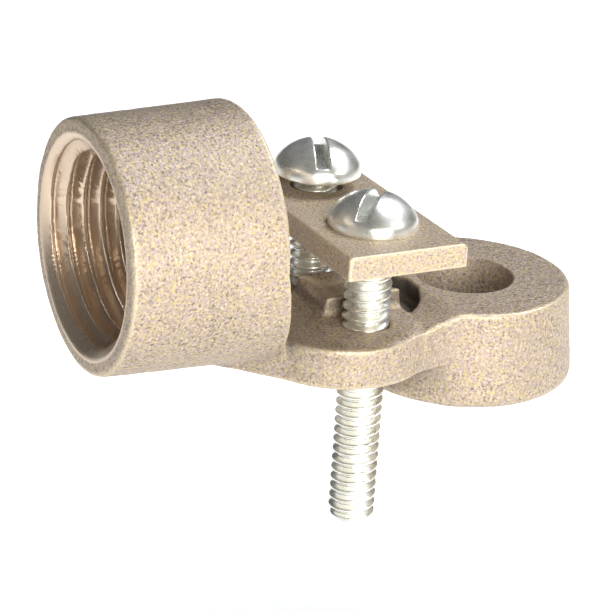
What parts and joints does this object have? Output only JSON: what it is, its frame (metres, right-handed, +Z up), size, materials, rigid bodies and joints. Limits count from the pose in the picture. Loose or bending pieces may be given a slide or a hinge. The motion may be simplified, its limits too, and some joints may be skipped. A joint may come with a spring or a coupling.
{
  "type": "grounding fitting",
  "caption": "Cast bronze grounding fitting: threaded conduit hub, thick bolt-on lug, and a flat bar that slotted screws clamp onto a ground wire.",
  "frame": {"origin": "on the axis of the lug's bolt hole, in the lug's underside", "axes": "+Z up along the bolt hole and the screws; the conduit hub's axis runs along X, with its mouth facing -X"},
  "size_m": [0.0556, 0.0276, 0.0443],
  "materials": {
    "cast_bronze": "as-cast bronze, tumbled, dull and fine-grained",
    "rolled_bronze": "blanked bronze plate, tumbled, dull on its faces",
    "plated_steel": "bright zinc-plated steel"
  },
  "bodies": {
    "fitting": {"body": "cast_bronze"},
    "bar": {"clamp_bar": "rolled_bronze"},
    "long_screw": {"front_screw": "plated_steel"},
    "short_screw": {"rear_screw": "plated_steel"}
  },
  "joints": [
    {"name": "clamp_travel", "type": "slide", "parent": "fitting", "child": "bar", "axis": [0, 0, 1], "range_m": [-0.004, 0.005]},
    {"name": "front_screw_turn", "type": "hinge", "parent": "bar", "child": "long_screw", "pos_m": [-0.015, -0.00615, 0.0198], "axis": [0, 0, 1], "range_deg": [-1361, 1701]},
    {"name": "rear_screw_turn", "type": "hinge", "parent": "bar", "child": "short_screw", "pos_m": [-0.015, 0.00615, 0.0198], "axis": [0, 0, 1], "range_deg": [-1361, 1701]}
  ],
  "couplings": [
    {"joint": "front_screw_turn", "follows": "clamp_travel", "rad_per_m": 5937.1},
    {"joint": "rear_screw_turn", "follows": "clamp_travel", "rad_per_m": 5937.1}
  ]
}
